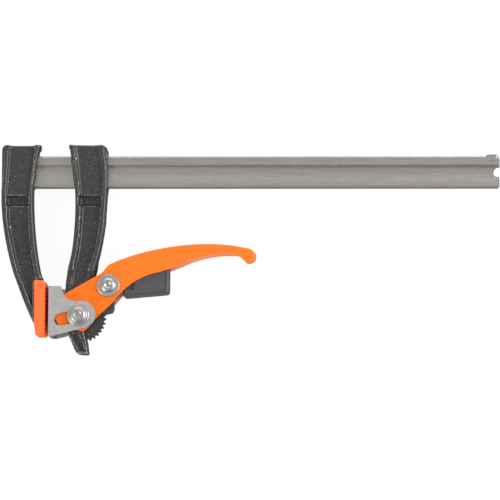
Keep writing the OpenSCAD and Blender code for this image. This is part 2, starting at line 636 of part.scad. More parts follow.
module pawl_spring() {
    wire = spring_wire / 2;
    coil_r = upper_rivet_r + washer_t * 0.7 + wire + 4 * run_clearance;
    z0 = pawl_t / 2 + wire + 2 * end_play;
    first = 104;
    last = spring_turns * 360 - 10;
    steps = 16 * spring_turns;
    rise = cheek_in - 2 * end_play - wire - z0;
    coil = [for (i = [0:steps]) let (a = first + (last - first) * i / steps)
        [coil_r * cos(a), coil_r * sin(a), z0 + rise * i / steps]];
    first_x = trigger_top[0][0] + 0.15 * trigger_l;
    first_leg = [first_x - pawl_pivot[0], lookup(first_x, trigger_top) + 1.4 * wire - pawl_pivot[1], z0];
    last_x = pawl_pivot[0] + 1.5 * coil_r;
    last_leg = [last_x - pawl_pivot[0], lookup(last_x, lever_roof) - 1.6 * wire - pawl_pivot[1], z0 + rise];
    path = concat([first_leg], coil, [last_leg]);
    count = len(path);
    sides = 8;
    points = [for (i = [0:count - 1])
        let (v = path[min(i + 1, count - 1)] - path[max(i - 1, 0)], d = v / norm(v),
            side = cross(d, [0, 0, 1]) / norm(cross(d, [0, 0, 1])), up = cross(side, d))
        for (k = [0:sides - 1]) path[i] + wire * (cos(360 * k / sides) * side + sin(360 * k / sides) * up)];
    walls = [for (i = [0:count - 2]) for (k = [0:sides - 1]) let (n = (k + 1) % sides)
        each [[i * sides + k, i * sides + n, (i + 1) * sides + n],
            [i * sides + k, (i + 1) * sides + n, (i + 1) * sides + k]]];
    ends = concat([[for (k = [sides - 1:-1:0]) k]], [[for (k = [0:sides - 1]) (count - 1) * sides + k]]);
    color([0.6, 0.6, 0.6]) translate([pawl_pivot[0], pawl_pivot[1], 0])
        polyhedron(points, concat(walls, ends));
}

rail();
fixed_arm();
fixed_pad_cap();
sliding_arm();
stirrup();
lower_rivet();
lower_washer_front();
lower_washer_back();
pivot_shim_front();
pivot_shim_back();
lever();
upper_rivet();
upper_washer_front();
upper_washer_back();
pawl_spacer_front();
pawl_spacer_back();
pawl_spring();
ratchet_pawl();
release_trigger();
trigger_pin();
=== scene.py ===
"""Quick release bar clamp, dressed over its fixed frame.

The shapes are drawn in millimetres in the clamp's own frame: X along the rail, Y from the jaws to the
rail, Z across the thickness. Each piece is brought to metres once, when it is finished.
"""

import logging
import math
from collections.abc import Callable, Iterable, Sequence
from dataclasses import dataclass, replace
from enum import Enum

import bmesh
import bpy
from bmesh import ops
from bmesh.types import BMEdge, BMVert
from bpy.types import ID, Material, Mesh, Node, NodeSocket as Socket, Object, World
from mathutils import Matrix, Vector
from mathutils.kdtree import KDTree


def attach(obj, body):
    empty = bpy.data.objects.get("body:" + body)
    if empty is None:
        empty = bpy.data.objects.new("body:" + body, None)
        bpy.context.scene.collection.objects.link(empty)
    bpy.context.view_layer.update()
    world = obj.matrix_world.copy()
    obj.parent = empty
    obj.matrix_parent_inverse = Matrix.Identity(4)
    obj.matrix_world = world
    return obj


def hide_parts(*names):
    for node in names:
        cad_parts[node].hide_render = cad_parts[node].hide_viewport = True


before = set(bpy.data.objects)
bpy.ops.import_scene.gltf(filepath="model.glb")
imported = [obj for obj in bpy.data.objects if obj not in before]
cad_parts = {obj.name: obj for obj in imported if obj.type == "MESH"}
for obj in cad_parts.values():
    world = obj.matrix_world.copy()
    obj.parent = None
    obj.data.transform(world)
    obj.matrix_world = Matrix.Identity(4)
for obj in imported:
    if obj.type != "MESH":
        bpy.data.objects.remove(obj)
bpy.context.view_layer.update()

LOG = logging.getLogger("clamp")
Point = tuple[float, float]
Spot = tuple[float, float, float]
Colour = tuple[float, float, float]
Run = tuple[int, Point, Point, Point]

MM = 0.001
NEAR = 0.01  # points closer than this are one
LEVEL = 0.05  # heights closer than this are one
PIVOT_AT: Point = (22.2, -5.3)  # the lower rivet, which the lever turns on
PAWL_AT: Point = (41.7, 14.65)  # the upper rivet, which the pawl turns on
WHITE = (1.0, 1.0, 1.0, 1.0)


def curve(ends: Sequence[Point], steps: int) -> list[Point]:
    """Sample a cubic curve.

    Args:
        ends: Its four control points.
        steps: Number of equal steps of its parameter.

    Returns:
        The points along it, both ends among them.
    """
    points = []
    for i in range(steps + 1):
        t = i / steps
        shares = ((1 - t) ** 3, 3 * (1 - t) ** 2 * t, 3 * (1 - t) * t * t, t**3)
        points.append(tuple(sum(s * p[k] for s, p in zip(shares, ends)) for k in (0, 1)))
    return points


def chain(*runs: Sequence[Point]) -> list[Point]:
    """Join runs of points end to end.

    Args:
        *runs: The runs, each of which starts where the one before it ends.

    Returns:
        One run, without the repeated points.
    """
    points: list[Point] = []
    for run in runs:
        for point in run:
            if not points or math.dist(point, points[-1]) > NEAR:
                points.append(point)
    return points


def strung(start: Point, *runs: Run) -> list[Point]:
    """Join curves end to end.

    Args:
        start: Where the first one starts.
        *runs: Each curve's number of steps, its two inner control points and its end.

    Returns:
        The points along them all.
    """
    points = [start]
    for steps, *rest in runs:
        points = chain(points, curve([points[-1], *rest], steps))
    return points


def arc(at: Point, radius: float, first: float, last: float, steps: int) -> list[Point]:
    """Sample an arc.

    Args:
        at: Its centre.
        radius: Its radius.
        first: The angle that it starts at, in degrees.
        last: The angle that it ends at, in degrees.
        steps: Number of equal steps.

    Returns:
        The points along it, both ends among them.
    """
    turns = [math.radians(first + (last - first) * i / steps) for i in range(steps + 1)]
    return [(at[0] + radius * math.cos(a), at[1] + radius * math.sin(a)) for a in turns]


def off(at: Point, size: float, *shares: Point) -> list[Point]:
    """Return points given as shares of a size from a place."""
    return [(at[0] + x * size, at[1] + y * size) for x, y in shares]


def on_line(at: Point, rise: float, run: float, side: float = 0.0) -> Point:
    """Return the point so far along a line that rises by an angle from a place, and so far to its left."""
    c, s = math.cos(math.radians(rise)), math.sin(math.radians(rise))
    return at[0] + run * c - side * s, at[1] + run * s + side * c


def doubled(profile: Sequence[Point]) -> list[Point]:
    """Return a profile, and back along it with the other sign of its second measure."""
    return [*profile, *((x, -z) for x, z in reversed(profile))]


def ramp(value: float, low: float, high: float) -> float:
    """Return how far a value has come from a low one, at 0, to a high one, at 1, with eased ends."""
    t = min(max((value - low) / (high - low), 0.0), 1.0)
    return t * t * (3 - 2 * t)


def span(low: float, high: float, side: int) -> Point:
    """Return a span of heights as it is on the front, where side is 1, or on the back, where it is -1."""
    return (low, high) if side > 0 else (-high, -low)


def placed(name: str, data: ID) -> Object:
    """Put an object into the scene.

    Args:
        name: Its name.
        data: Its mesh, camera or light.

    Returns:
        The object.
    """
    made = bpy.data.objects.new(name, data)
    bpy.context.scene.collection.objects.link(made)
    return made


def evaluated(made: Object) -> Mesh:
    """Return an object's mesh as its modifiers leave it."""
    return bpy.data.meshes.new_from_object(made.evaluated_get(bpy.context.evaluated_depsgraph_get()))


def dropped(made: Object) -> None:
    """Take an object out again, with its mesh.

    Args:
        made: The object.
    """
    mesh = made.data
    bpy.data.objects.remove(made)
    bpy.data.meshes.remove(mesh)


def only(kind: type, geometry: Iterable[object]) -> list:
    """Return the points, the edges or the faces among some geometry."""
    return [g for g in geometry if isinstance(g, kind)]


def srgb(red: int, green: int, blue: int) -> Colour:
    """Turn a colour as seen on screen, from 0 to 255, into linear light."""
    return tuple(
        v / 255 / 12.92 if v <= 10 else ((v / 255 + 0.055) / 1.055) ** 2.4 for v in (red, green, blue)
    )


class Graph:
    """The shader nodes of a material or of the world, in the making."""

    def __init__(self, owner: Material | World, empty: bool = False) -> None:
        """Open the nodes.

        Args:
            owner: The material or the world.
            empty: Whether the nodes that it comes with are taken out.
        """
        owner.use_nodes = True
        self.nodes, self.links = owner.node_tree.nodes, owner.node_tree.links
        if empty:
            self.nodes.clear()

    def feed(self, node: Node, inputs: dict[str | int, object]) -> None:
        """Set a node's inputs.

        Args:
            node: The node.
            inputs: Each input's value, or the output that goes into it.
        """
        for key, value in inputs.items():
            if isinstance(value, Socket):
                self.links.new(value, node.inputs[key])
            else:
                node.inputs[key].default_value = value

    def add(self, kind: str, inputs: dict[str | int, object] | None = None, **settings: object) -> Node:
        """Add a node.

        Args:
            kind: Its type, without the prefix that all these nodes have.
            inputs: Its inputs' values, or the outputs that go into them.
            **settings: Its settings.

        Returns:
            The node.
        """
        node = self.nodes.new(f"ShaderNode{kind}")
        for key, value in settings.items():
            setattr(node, key, value)
        self.feed(node, inputs or {})
        return node

    def worked(self, operation: str, *values: Socket | float) -> Socket:
        """Return the output of one operation on values."""
        return self.add("Math", dict(enumerate(values)), operation=operation).outputs["Value"]

    def place(self, kind: str) -> Socket:
        """Return one kind of coordinates."""
        return self.add("TexCoord").outputs[kind]

    def along(self, axis: str, vector: Socket) -> Socket:
        """Return one axis of a vector."""
        return self.add("SeparateXYZ", {"Vector": vector}).outputs[axis]

    def ray(self, kind: str) -> Socket:
        """Return whether a ray is of one kind."""
        return self.add("LightPath").outputs[f"Is {kind} Ray"]

    def noise(self, vector: Socket, size: float, detail: float) -> Socket:
        """Add a noise texture.

        Args:
            vector: The coordinates that it reads.
            size: The size of its grains, in millimetres.
            detail: Its number of finer layers.

        Returns:
            The output that gives its value.
        """
        inputs = {"Scale": 1 / (size * MM), "Detail": detail, "Vector": vector}
        return self.add("TexNoise", inputs).outputs["Fac"]

    def blend(self, value: Socket, first: Colour, last: Colour) -> Socket:
        """Turn a noise's value into a colour between two others.

        Args:
            value: The value.
            first: The colour of low values, in linear light.
            last: The colour of high values, in linear light.

        Returns:
            The output that gives the colour.
        """
        ramped = self.add("ValToRGB", {"Fac": value})
        for stop, at, colour in zip(ramped.color_ramp.elements, (0.35, 0.65), (first, last)):
            stop.position, stop.color = at, (*colour, 1.0)
        return ramped.outputs["Color"]

    def ranged(self, value: Socket, source: Point, target: Point = (0.0, 1.0), way: str = "SMOOTHSTEP") -> Socket:
        """Bring a value from one range to another.

        Args:
            value: The value.
            source: The two values that give the target's.
            target: The two values that it is brought to.
            way: How it goes from one to the other.

        Returns:
            The output that gives the new value.
        """
        names = ("Value", "From Min", "From Max", "To Min", "To Max")
        inputs = dict(zip(names, (value, *source, *target)))
        return self.add("MapRange", inputs, interpolation_type=way).outputs["Result"]

    def over(self, share: Socket, below: Socket, colour: Colour) -> Socket:
        """Lay a colour, in linear light, over another by a share."""
        inputs = {"B": (*colour, 1.0), "Factor": share, "A": below}
        return self.add("Mix", inputs, data_type="RGBA").outputs["Result"]

    def glow(self, colour: Socket | Sequence[float], strength: float) -> Socket:
        """Return a light of the world's."""
        return self.add("Background", {"Color": colour, "Strength": strength}).outputs["Background"]

    def mixed(self, share: Socket, first: Socket, last: Socket) -> Socket:
        """Mix two surfaces or lights by a share."""
        return self.add("MixShader", {"Fac": share, 1: first, 2: last}).outputs["Shader"]


class Surface(Enum):
    """The kinds of surface that the clamp shows."""

    CAST = "cast"
    BRUSHED = "brushed"
    PLATED = "plated"
    ENAMEL = "enamel"
    MOULDED = "moulded"


@dataclass(frozen=True)
class Finish:
    """One finish, with the colours and the relief of its surface, and the painted highlight, painted shade and
    painted light that some of them carry.
    """

    slot: str
    surface: Surface
    dark: Colour
    light: Colour
    grain: float
    relief: float
    smooth: float
    rough: float
    metal: float = 0.0
    coat: float = 0.0
    speck: Colour | None = None
    # the pale edge colour is bare metal where the paint is rubbed off, and also a painted highlight along the edges
    wear_and_highlight: Colour | None = None
    # a deeper colour near the lever's pivot: painted shade, where less glare falls
    painted_shade: Colour | None = None
    # a paler colour inside a channel: painted light on the far cheek's inner face, which the near cheek shades
    inner: Colour | None = None
    label: str = ""
    mirror: float = 0.5

    def stretch(self) -> Spot:
        """Return how the grain is drawn out along each axis."""
        drawn = {Surface.BRUSHED: (0.02, 1.0, 1.0), Surface.PLATED: (1.0, 0.35, 1.0)}
        return drawn.get(self.surface, (1.0, 1.0, 1.0))

    def material(self) -> Material:
        """Build the finish as shader nodes, or find it where it is built already.

        Returns:
            The material, named after the finish's label or its slot.
        """
        name = f"finish_{self.label or self.slot}"
        made = bpy.data.materials.get(name)
        if made:
            return made
        made = bpy.data.materials.new(name)
        graph = Graph(made)
        drawn = graph.add("Mapping", {"Scale": self.stretch(), "Vector": graph.place("Object")})
        fine = graph.noise(drawn.outputs["Vector"], self.grain, 5.0)
        patches = graph.noise(graph.place("Object"), 9 * self.grain, 3.0)
        colour = graph.blend(fine, self.dark, self.light)
        # the specks, then the pale edges (wear and painted highlight), the deeper orange near the pivot (painted
        # shade) and the pale inside of the channel (painted light)
        paints = (self.speck, self.wear_and_highlight, self.painted_shade, self.inner)
        for paint, share in zip(paints, (self.grit, self.wear_and_highlight_share, self.painted_shade_share, self.painted_light_share)):
            if paint:
                colour = graph.over(share(graph), colour, paint)
        tone = graph.blend(patches, (0.93, 0.93, 0.93), WHITE[:3])
        tint = graph.add("Mix", {"Factor": 1.0, "A": colour, "B": tone}, data_type="RGBA", blend_type="MULTIPLY")
        spread = patches if self.surface is Surface.ENAMEL else fine
        matt = graph.ranged(spread, (0.3, 0.7), (self.smooth, self.rough), "LINEAR")
        if self.metal < 1:
            matt = self.sides(graph, matt)
        relief = graph.add("Bump", {"Distance": self.relief * MM, "Height": fine})
        inputs = {
            "Base Color": tint.outputs["Result"], "Roughness": matt, "Normal": relief.outputs["Normal"],
            "Metallic": self.metal, "Specular IOR Level": self.mirror,
            "Coat Weight": self.coat, "Coat Roughness": 0.12,
        }
        graph.feed(graph.nodes["Principled BSDF"], inputs)
        return made

    @staticmethod
    def sides(graph: Graph, gloss: Socket) -> Socket:
        """Roughen the side walls, which the mould or the spray leaves duller than the faces.

        Args:
            graph: The material's nodes.
            gloss: The roughness of the faces.

        Returns:
            The output that gives the roughness.
        """
        level = graph.worked("ABSOLUTE", graph.along("Z", graph.place("Normal")))
        inputs = {"B": 0.95, "Factor": graph.ranged(level, (0.45, 0.15)), "A": gloss}
        return graph.add("Mix", inputs).outputs["Result"]

    def grit(self, graph: Graph) -> Socket:
        """Return the share of the specks that the casting's sand leaves."""
        return graph.ranged(graph.noise(graph.place("Object"), 1.5 * self.grain, 1.0), (0.61, 0.76))

    def wear_and_highlight_share(self, graph: Graph) -> Socket:
        """Give the share of bare metal on the edges, where the paint is rubbed off in specks; the same pale specks
        are also a painted highlight along the edges.

        Args:
            graph: The material's nodes.

        Returns:
            The output that gives the share.
        """
        specks = graph.ranged(graph.noise(graph.place("Object"), 1.3 * self.grain, 2.0), (0.42, 0.6))
        edges = graph.ranged(graph.add("NewGeometry").outputs["Pointiness"], (0.516, 0.549))
        return graph.worked("MULTIPLY", edges, specks)

    def painted_light_share(self, graph: Graph) -> Socket:
        """Return the share of a paler colour, full on the faces that look across a channel: painted light on the far
        cheek's inner face, which the near cheek shades.
        """
        across = (graph.along("Z", graph.place(kind)) for kind in ("Object", "Normal"))
        return graph.ranged(graph.worked("MULTIPLY", *across), (-0.003, -0.006))

    def painted_shade_share(self, graph: Graph) -> Socket:
        """Return the share of the deeper colour between the lever's two rivets, a painted shade where less glare
        falls.
        """
        reach = graph.add("VectorMath", {0: graph.place("Object"), 1: (0.033, 0.001, 0.0)}, operation="DISTANCE")
        return graph.ranged(reach.outputs["Value"], (0.034, 0.012))


RAIL_STEEL = Finish(
    "rail_steel", Surface.BRUSHED, srgb(182, 178, 173), srgb(196, 192, 187), 0.35, 0.0006, 0.34, 0.4, metal=1.0
)
CASTING = Finish(
    "arm_casting", Surface.CAST, srgb(42, 42, 42), srgb(55, 55, 55), 0.6, 0.045, 0.24, 0.36,
    # the pale edge colour is bare metal and also a painted highlight along the rims
    speck=srgb(110, 110, 109), wear_and_highlight=srgb(190, 190, 187),
)
TEETH = replace(CASTING, wear_and_highlight=None, label="teeth")
PAD = Finish(
    "pad_plastic", Surface.MOULDED, srgb(251, 104, 48), srgb(253, 114, 58), 0.5, 0.012, 0.5, 0.6, mirror=0.15
)
ZINC = Finish(
    "stirrup_zinc", Surface.PLATED, srgb(204, 203, 200), srgb(217, 216, 213), 0.6, 0.004, 0.4, 0.5, metal=1.0
)
NICKEL = Finish(
    "rivet_nickel", Surface.PLATED, srgb(186, 185, 182), srgb(198, 197, 194), 0.6, 0.0, 0.36, 0.4, metal=1.0
)
WASHER = Finish(
    "washer_zinc", Surface.PLATED, srgb(196, 192, 187), srgb(212, 208, 203), 0.5, 0.003, 0.28, 0.38, metal=1.0
)
ENAMEL = Finish(
    "lever_enamel", Surface.ENAMEL, srgb(247, 108, 18), srgb(249, 115, 28), 0.9, 0.005, 0.3, 0.4, coat=0.08,
    # the deeper orange near the pivot is painted shade
    # the pale colour inside the channel is painted light on the far cheek's inner face
    painted_shade=srgb(235, 105, 0), inner=srgb(240, 178, 145), mirror=0.3,
)
PAWL = Finish("pawl_steel", Surface.CAST, srgb(66, 68, 72), srgb(88, 90, 96), 0.4, 0.015, 0.35, 0.5, metal=0.4)
SPRING = Finish(
    "spring_steel", Surface.PLATED, srgb(150, 150, 150), srgb(180, 180, 180), 0.4, 0.003, 0.2, 0.35, metal=1.0
)
GRIP = Finish("trigger_plastic", Surface.MOULDED, srgb(66, 66, 68), srgb(78, 78, 80), 0.45, 0.006, 0.18, 0.26)


class Form:
    """A shape in the making, in millimetres."""

    DRAFT = (0.1, 1.3)  # run of a casting's outer walls, from the middle plane to the front and to the back
    DRAFT_Y = 78.0  # over this, only the back half's right walls have the draft
    WEB_Z = 3.5  # a recess's walls start over this height
    RIM_Z = 7.9  # a flange's walls end over this height
    VOXEL = 0.45  # size of the even faces that a casting gets
    WORN, WORN_Z = 1.7, 5.0  # how near a rim, and over what height, it is rounded most

    def __init__(self) -> None:
        """Start with nothing."""
        self.bm = bmesh.new()
        self.rims: list[Vector] = []

    @classmethod
    def drawn(cls, corners: Sequence[Spot], run: Spot) -> "Form":
        """Draw a flat face out into a solid.

        Args:
            corners: The face's corners in turn.
            run: How far it is drawn along each axis.

        Returns:
            The solid.
        """
        form = cls()
        bm = form.bm
        base = bm.faces.new([bm.verts.new(corner) for corner in corners])
        grown = ops.extrude_face_region(bm, geom=[base])["geom"]
        ops.translate(bm, vec=run, verts=only(BMVert, grown))
        return form.tidied()

    @classmethod
    def prism(cls, outline: Sequence[Point], low: float, high: float) -> "Form":
        """Raise an outline, given as X and Y, into a solid from one Z to another."""
        return cls.drawn([(x, y, low) for x, y in outline], (0, 0, high - low))

    @classmethod
    def bar(cls, profile: Sequence[Point], start: float, end: float) -> "Form":
        """Draw a profile, given as Y and Z, into a solid from one X to another."""
        return cls.drawn([(start, y, z) for y, z in profile], (end - start, 0, 0))

    @classmethod
    def lathe(cls, profile: Sequence[Point], at: Point, closed: bool = False, steps: int = 96) -> "Form":
        """Turn a profile about an axis along Z.

        Args:
            profile: Its points in turn, as radius and Z.
            at: X and Y of the axis.
            closed: Whether the last point joins the first, as on a ring.
            steps: Number of steps in the turn.

        Returns:
            The turned solid.
        """
        form = cls()
        bm = form.bm
        points = [bm.verts.new((radius, 0, z)) for radius, z in profile]
        pairs = list(zip(points, points[1:])) + ([(points[-1], points[0])] if closed else [])
        edges = [bm.edges.new(pair) for pair in pairs]
        turn = {"cent": (0, 0, 0), "axis": (0, 0, 1), "angle": math.tau}
        ops.spin(bm, geom=points + edges, steps=steps, use_merge=True, **turn)
        ops.translate(bm, vec=(*at, 0), verts=bm.verts)
        return form.tidied()

    @classmethod
    def folded(cls, cheek: Sequence[Point], fold: tuple[int, int], half: float, bend: float, sheet: float) -> "Form":
        """Fold a sheet into a channel with two like cheeks.

        Args:
            cheek: Corners of a cheek in turn.
            fold: First and last corner of the run that the channel's back joins.
            half: Half the width over the cheeks.
            bend: Outer radius of the folds.
            sheet: Thickness of the sheet.

        Returns:
            The channel, as thick as its sheet.
        """
        form = cls()
        bm = form.bm
        across = (0, 0, -2 * half)
        corners = [bm.verts.new((x, y, half)) for x, y in cheek]
        front = bm.faces.new(corners)
        run = [bm.edges.get((corners[i], corners[i + 1])) for i in range(*fold)]
        ops.duplicate(bm, geom=[front])
        near = set(corners)
        ops.translate(bm, vec=across, verts=[v for v in bm.verts if v not in near])
        spread = ops.extrude_edge_only(bm, edges=run)["geom"]
        ops.translate(bm, vec=across, verts=only(BMVert, spread))
        form.tidied()
        cheeks = [f for f in bm.faces if len(f.verts) > 4]
        if next(f for f in cheeks if f.calc_center_median().z > 0).normal.z < 0:
            ops.reverse_faces(bm, faces=bm.faces)
        folds = [e for e in bm.edges if len(e.link_faces) == 2 and sum(f in cheeks for f in e.link_faces) == 1]
        ops.bevel(
            bm, geom=folds, offset=bend, offset_type="OFFSET", segments=6, profile=0.5, affect="EDGES",
            clamp_overlap=False, material=-1,
        )
        return form.fit("SOLIDIFY", thickness=sheet, offset=-1.0, use_even_offset=True)

    @classmethod
    def of_node(cls, node: str) -> "Form":
        """Copy a solid of the frame, merged and with its flat faces joined.

        Args:
            node: Its name.

        Returns:
            The copy.
        """
        form = cls()
        bm = form.bm
        bm.from_mesh(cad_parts[node].data)
        ops.scale(bm, vec=(1 / MM, 1 / MM, 1 / MM), verts=bm.verts)
        ops.remove_doubles(bm, verts=bm.verts, dist=0.002)
        ops.dissolve_limit(bm, angle_limit=math.radians(0.5), verts=bm.verts, edges=bm.edges)
        return form

    def tidied(self) -> "Form":
        """Merge points that meet and turn the faces outward.

        Returns:
            The same form.
        """
        ops.remove_doubles(self.bm, verts=self.bm.verts, dist=0.0005)
        ops.recalc_face_normals(self.bm, faces=self.bm.faces)
        return self

    def solid(self, name: str) -> Object:
        """Make the shape an object of its own.

        Args:
            name: The object's name, and its mesh's.

        Returns:
            The object.
        """
        mesh = bpy.data.meshes.new(name)
        self.bm.to_mesh(mesh)
        return placed(name, mesh)

    def fit(self, kind: str, **settings: object) -> "Form":
        """Put the shape through a modifier.

        Args:
            kind: The modifier's type.
            **settings: Its settings.

        Returns:
            The same form, with its new mesh.
        """
        made = self.solid("shaping")
        modifier = made.modifiers.new(kind.lower(), kind)
        for key, value in settings.items():
            setattr(modifier, key, value)
        result = evaluated(made)
        self.bm.free()
        self.bm = bmesh.new()
        self.bm.from_mesh(result)
        dropped(made)
        bpy.data.meshes.remove(result)
        return self

    def beside(self, other: "Form") -> "Form":
        """Lay another shape over this one, for a later softening to make them one.

        Args:
            other: The other shape.

        Returns:
            The same form, with both.
        """
        mesh = bpy.data.meshes.new("beside")
        other.bm.to_mesh(mesh)
        self.bm.from_mesh(mesh)
        bpy.data.meshes.remove(mesh)
        return self

    def combine(self, other: "Form", operation: str, solver: str = "EXACT") -> "Form":
        """Cut another shape out of this one, or add it.

        Args:
            other: The other shape.
            operation: DIFFERENCE or UNION.
            solver: The way that it is worked out.

        Returns:
            The same form, with its new mesh.
        """
        tool = other.solid("tool")
        self.fit("BOOLEAN", operation=operation, solver=solver, object=tool)
        dropped(tool)
        return self

    def cut(self, outline: Sequence[Point], low: float, high: float) -> "Form":
        """Cut an outline out of this shape, from one Z to another."""
        return self.combine(Form.prism(outline, low, high), "DIFFERENCE")

    def rounded(self, width: float, segments: int = 3, angle: float = 35.0) -> "Form":
        """Round every edge sharper than an angle.

        Args:
            width: Width of the rounding.
            segments: Number of faces across it.
            angle: The angle, in degrees.

        Returns:
            The same form.
        """
        limit = math.radians(angle)
        return self.fit(
            "BEVEL", width=width, segments=segments, limit_method="ANGLE", angle_limit=limit, use_clamp_overlap=True
        )

    def shifted(self, run: Callable[[Vector], Point]) -> "Form":
        """Move the points in X and Y, but not past the shape's first left edge.

        Args:
            run: Gives the move of a point from its place.

        Returns:
            The same form.
        """
        edge = min(v.co.x for v in self.bm.verts)
        for v in self.bm.verts:
            across, up = run(v.co)
            v.co.x, v.co.y = max(v.co.x + across, edge), v.co.y + up
        return self

    def sloped(self, lean: Callable[[Vector, float], float], above: float) -> "Form":
        """Give a casting's walls the slopes that let it leave its mould, and keep its flanges' rims.

        Args:
            lean: Gives how far a recess's wall leans, from its place and its depth.
            above: Y over which the walls are changed.

        Returns:
            The same form.
        """
        every = self.bm.verts[:] + self.bm.edges[:] + self.bm.faces[:]
        ops.bisect_plane(self.bm, geom=every, plane_co=(0, 0, 0), plane_no=(0, 0, 1))
        self.bm.normal_update()
        left, right = min(v.co.x for v in self.bm.verts), max(v.co.x for v in self.bm.verts)
        top = max(v.co.y for v in self.bm.verts)
        moves: dict[BMVert, list[Vector]] = {}
        rims: set[BMEdge] = set()
        for face in self.bm.faces:
            if abs(face.normal.z) > LEVEL:
                continue
            levels = [abs(v.co.z) for v in face.verts]
            low, high = min(levels), max(levels)
            outer = low < LEVEL and high > self.RIM_Z
            if outer:
                rims.update(e for e in face.edges if min(abs(v.co.z) for v in e.verts) > high - LEVEL)
            for v in face.verts:
                if v.co.y < above:
                    continue
                at_foot, at_top = (abs(abs(v.co.z) - z) < LEVEL for z in (low, high))
                run = 0.5 * lean(v.co, high - low)
                if outer and at_top and (v.co.y < self.DRAFT_Y or v.co.z < 0 < face.normal.x - 0.3):
                    moves.setdefault(v, []).append(face.normal * -self.DRAFT[v.co.z < 0])
                elif low > self.WEB_Z and (at_foot or at_top):
                    moves.setdefault(v, []).append(face.normal * (run if at_foot else -run))
        for v, runs in moves.items():
            v.co += self.joined(runs)
            v.co.x, v.co.y = min(max(v.co.x, left), right), min(v.co.y, top)
        for rim in rims:
            first, last = (v.co.copy() for v in rim.verts)
            steps = max(int((last - first).length / 0.5), 1)
            self.rims += [first.lerp(last, i / steps) for i in range(steps + 1)]
        return self

    @staticmethod
    def joined(runs: Sequence[Vector]) -> Vector:
        """Join the moves that walls give a point they share, so that each of two walls gets its own.

        Args:
            runs: The moves.

        Returns:
            The one move.
        """
        first = runs[0]
        turned = (r for r in runs[1:] if min(r.length, first.length) > NEAR and r.angle(first, 0) > 0.05)
        other = next(turned, None)
        if other is None:
            return first
        mean = (first + other).normalized()
        share = max(mean.dot(first.normalized()), 0.5)
        return mean * max(first.length, other.length) / share

    def evened(self, points: Iterable[BMVert], times: int) -> None:
        """Draw points towards the middle of those round them.

        Args:
            points: The points.
            times: The number of times.
        """
        axes = {f"use_axis_{axis}": True for axis in "xyz"}
        for _ in range(times):
            ops.smooth_vert(self.bm, verts=points, factor=0.5, **axes)

    def softened(self, passes: int) -> "Form":
        """Round the whole shape as a casting is rounded, and the rims of its flanges most.

        Args:
            passes: Number of times that its points are evened out.

        Returns:
            The same form.
        """
        top = max(v.co.y for v in self.bm.verts)
        self.fit("REMESH", mode="VOXEL", voxel_size=self.VOXEL, use_smooth_shade=True)
        self.evened(self.bm.verts, passes)
        if passes and self.rims:
            tree = KDTree(len(self.rims))
            for i, point in enumerate(self.rims):
                tree.insert(point, i)
            tree.balance()
            worn = [v for v in self.bm.verts if abs(v.co.z) > self.WORN_Z and tree.find(v.co)[2] < self.WORN]
            self.evened(worn, 4 * passes)
        for v in self.bm.verts:
            v.co.y = min(v.co.y, top)
        return self

    def piece(self, name: str, body: str, finish: Finish, *nodes: str, even: bool = True) -> Object:
        """Finish the shape as a piece of the clamp.

        Args:
            name: The piece's name.
            body: The body that it moves with.
            finish: Its finish.
            *nodes: The solids of the frame that it stands for.
            even: Whether its large flat faces keep their own normals.

        Returns:
            The piece.
        """
        for face in self.bm.faces:
            face.smooth = True
        for edge in self.bm.edges:
            flat = even and any(len(f.verts) > 8 or abs(f.normal.z) > 0.999 for f in edge.link_faces)
            edge.smooth = edge.calc_face_angle(0.0) < math.radians(3 if flat else 40)
        ops.scale(self.bm, vec=(MM, MM, MM), verts=self.bm.verts)
        made = self.solid(name)
        self.bm.free()
        if even:
            weighing = made.modifiers.new("even", "WEIGHTED_NORMAL")
            weighing.keep_sharp, weighing.weight = True, 100
            before, made.data = made.data, evaluated(made)
            made.modifiers.clear()
            bpy.data.meshes.remove(before)
        mesh = made.data
        mesh.name = name
        mesh.materials.clear()
        mesh.materials.append(finish.material())
        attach(made, body)
        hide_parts(*nodes)
        LOG.info("%s: %d faces on %s", name, len(mesh.polygons), body)
        return made


